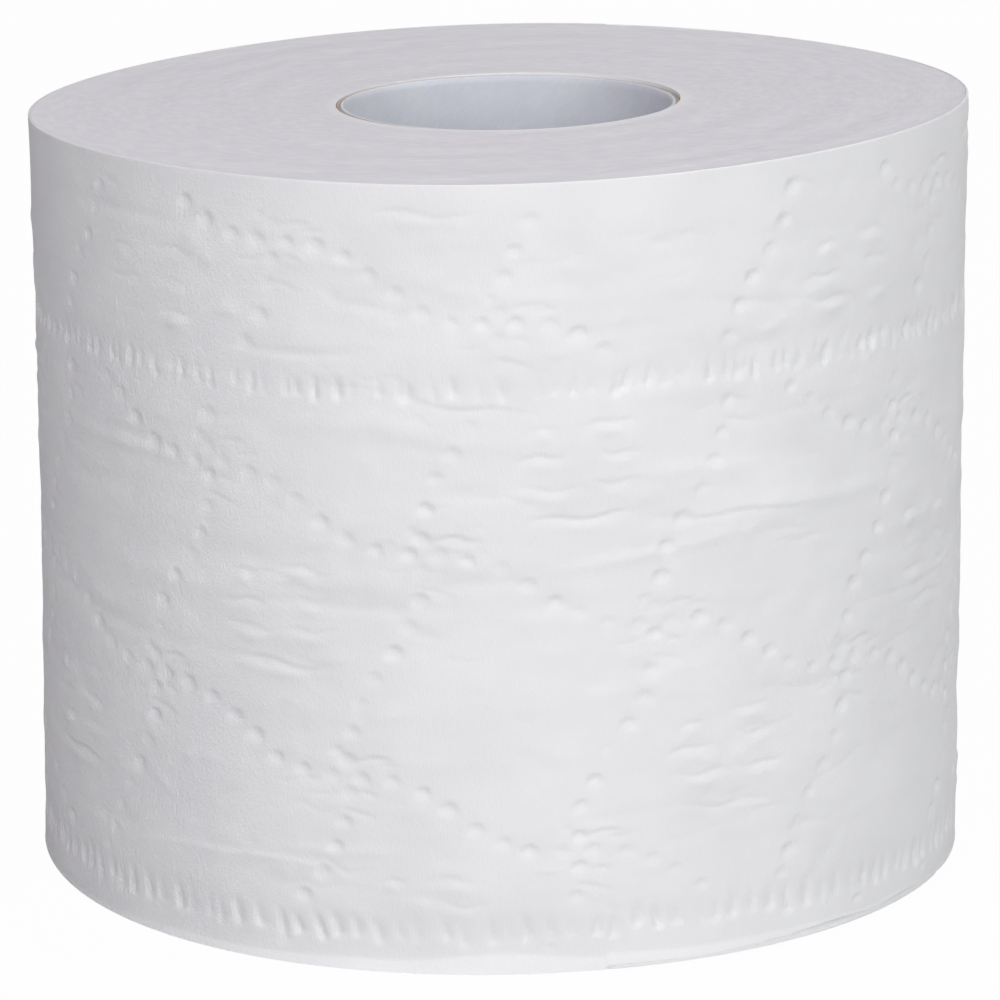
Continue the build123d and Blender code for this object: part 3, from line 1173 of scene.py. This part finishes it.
@dataclass
class Studio:
    """Plain white floor, soft lamps and the camera at the photograph's viewing angle."""

    aim_height: float = 49.5
    distance: float = 688.1
    elevation: float = 13.467
    roll: float = 0.1787
    lens: float = 189.3
    shift: tuple[float, float] = (0.0005, -0.0329)
    ambient: str = "#F8EEFF"
    ambient_strength: float = 0.045
    floor_paper: str = "#C0C0C2"
    floor_white: float = 0.98
    floor_half: float = 3.0
    lamp_distance: float = 1.4
    lamp_size: float = 0.8
    boxes: tuple[SoftBox, ...] = (
        SoftBox("front_left", -30, 20, 4.95),
        SoftBox("front", 5, 20, 1.8),
        SoftBox("front_right", 30, 20, 6.4),
        SoftBox("right", 60, 20, 2.5),
        SoftBox("left_high", -45, 50, 3.15, "#FFF4FF"),
        SoftBox("right_high", 40, 70, 1.2),
        SoftBox("overhead", 0, 88, 3.6),
        SoftBox("right_back", 120, 40, 3.0),
        SoftBox("back", 180, 8, 3.0),
    )

    def camera(self) -> None:
        """Places the camera on a long lens and turns it about its own axis by the small roll."""
        data = bpy.data.cameras.new("camera")
        data.lens, data.sensor_width = self.lens, 36.0
        data.shift_x, data.shift_y = self.shift
        data.clip_start, data.clip_end = 0.05, 50.0
        camera = bpy.data.objects.new("camera", data)
        rise = math.radians(self.elevation)
        target = Vector((0, 0, self.aim_height * MM))
        away = Vector((0, -math.cos(rise), math.sin(rise)))
        camera.location = target + away * self.distance * MM
        facing = (-away).to_track_quat("-Z", "Y").to_matrix().to_4x4()
        camera.rotation_euler = (facing @ Matrix.Rotation(math.radians(-self.roll), 4, "Z")).to_euler()
        bpy.context.scene.collection.objects.link(camera)
        bpy.context.scene.camera = camera

    def lamps(self) -> None:
        """Hangs the soft boxes, each turned to the middle of the roll."""
        target = Vector((0, 0, self.aim_height * MM))
        for box in self.boxes:
            azimuth, elevation = math.radians(box.azimuth), math.radians(box.elevation)
            level = math.cos(elevation)
            towards = Vector((math.sin(azimuth) * level, -math.cos(azimuth) * level, math.sin(elevation)))
            data = bpy.data.lights.new(box.name, "AREA")
            data.shape, data.size = "DISK", self.lamp_size
            data.energy, data.color = box.power, linear(box.colour)[:3]
            lamp = bpy.data.objects.new(box.name, data)
            lamp.location = target + towards * self.lamp_distance
            lamp.rotation_euler = (-towards).to_track_quat("-Z", "Y").to_euler()
            bpy.context.scene.collection.objects.link(lamp)

    def seen(self, tree: bpy.types.NodeTree) -> bpy.types.NodeSocket:
        """Adds the light path test that is 1 for what is seen, mirrored or shining through, and else 0.

        Args:
            tree: the node tree that gets the test.

        Returns:
            The output of the test.
        """
        rays = add_node(tree, "LightPath").outputs
        mirrored = add_node(tree, "Math", {0: rays["Is Camera Ray"], 1: rays["Is Glossy Ray"]},
                            operation="MAXIMUM")
        return add_node(tree, "Math", {0: mirrored.outputs[0], 1: rays["Is Transmission Ray"]},
                        operation="MAXIMUM").outputs[0]

    def surroundings(self) -> None:
        """Makes the world: white where it is seen or mirrored, and a dim even light elsewhere."""
        world = bpy.data.worlds.new("studio")
        world.use_nodes = True
        tree = world.node_tree
        tree.nodes.clear()
        dim = add_node(tree, "Background", {"Color": linear(self.ambient), "Strength": self.ambient_strength})
        white = add_node(tree, "Background", {"Color": (1, 1, 1, 1), "Strength": 1.0})
        mix = add_node(tree, "MixShader", {0: self.seen(tree), 1: dim.outputs[0], 2: white.outputs[0]})
        add_node(tree, "OutputWorld", {"Surface": mix.outputs[0]})
        bpy.context.scene.world = world

    def floor(self) -> None:
        """Lays the floor, nearly all white to the camera and with a faint shadow of the roll."""
        material, tree = new_material("studio_floor")
        paper = add_node(tree, "BsdfDiffuse", {"Color": linear(self.floor_paper)})
        white = add_node(tree, "Emission", {"Color": (1, 1, 1, 1), "Strength": 1.0})
        share = add_node(tree, "Math", {0: self.seen(tree), 1: self.floor_white}, operation="MULTIPLY")
        mix = add_node(tree, "MixShader", {0: share.outputs[0], 1: paper.outputs[0], 2: white.outputs[0]})
        add_node(tree, "OutputMaterial", {"Surface": mix.outputs[0]})
        half = self.floor_half
        floor_corners = [(-half, -half, 0), (half, -half, 0), (half, half, 0), (-half, half, 0)]
        mesh = bpy.data.meshes.new("floor")
        mesh.from_pydata(floor_corners, [], [(0, 1, 2, 3)])
        mesh.materials.append(material)
        floor = bpy.data.objects.new("floor", mesh)
        bpy.context.scene.collection.objects.link(floor)

    def build(self) -> None:
        """Sets up the camera first, then the world, the lamps and the floor."""
        self.camera()
        self.surroundings()
        self.lamps()
        self.floor()


def corners(box: tuple[Vector, Vector]) -> list[list[float]]:
    """The two corners of a box as plain lists."""
    return [list(corner) for corner in box]


def main() -> None:
    """Builds the studio and the roll."""
    logging.basicConfig(level=logging.INFO, format="%(name)s: %(message)s")
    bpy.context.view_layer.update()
    bpy.context.scene.view_settings.view_transform = "Standard"
    Studio().build()
    wall, edges = TissueWall().material(), TissueEdges().material()
    grey = Board("grey_core_board", light="#DCDFE5", shade="#D2D5DD", fleck="#E3E5EA", dusted=0.0).material()
    brown = Board("brown_kraft_board", light="#BBAC9C", shade="#A59584", fleck="#C8BBAD").material()
    OuterTurn().build(wall)
    WoundBody().build(edges, wall)
    Core().build(brown, grey)


if __name__ == "__main__":
    main()
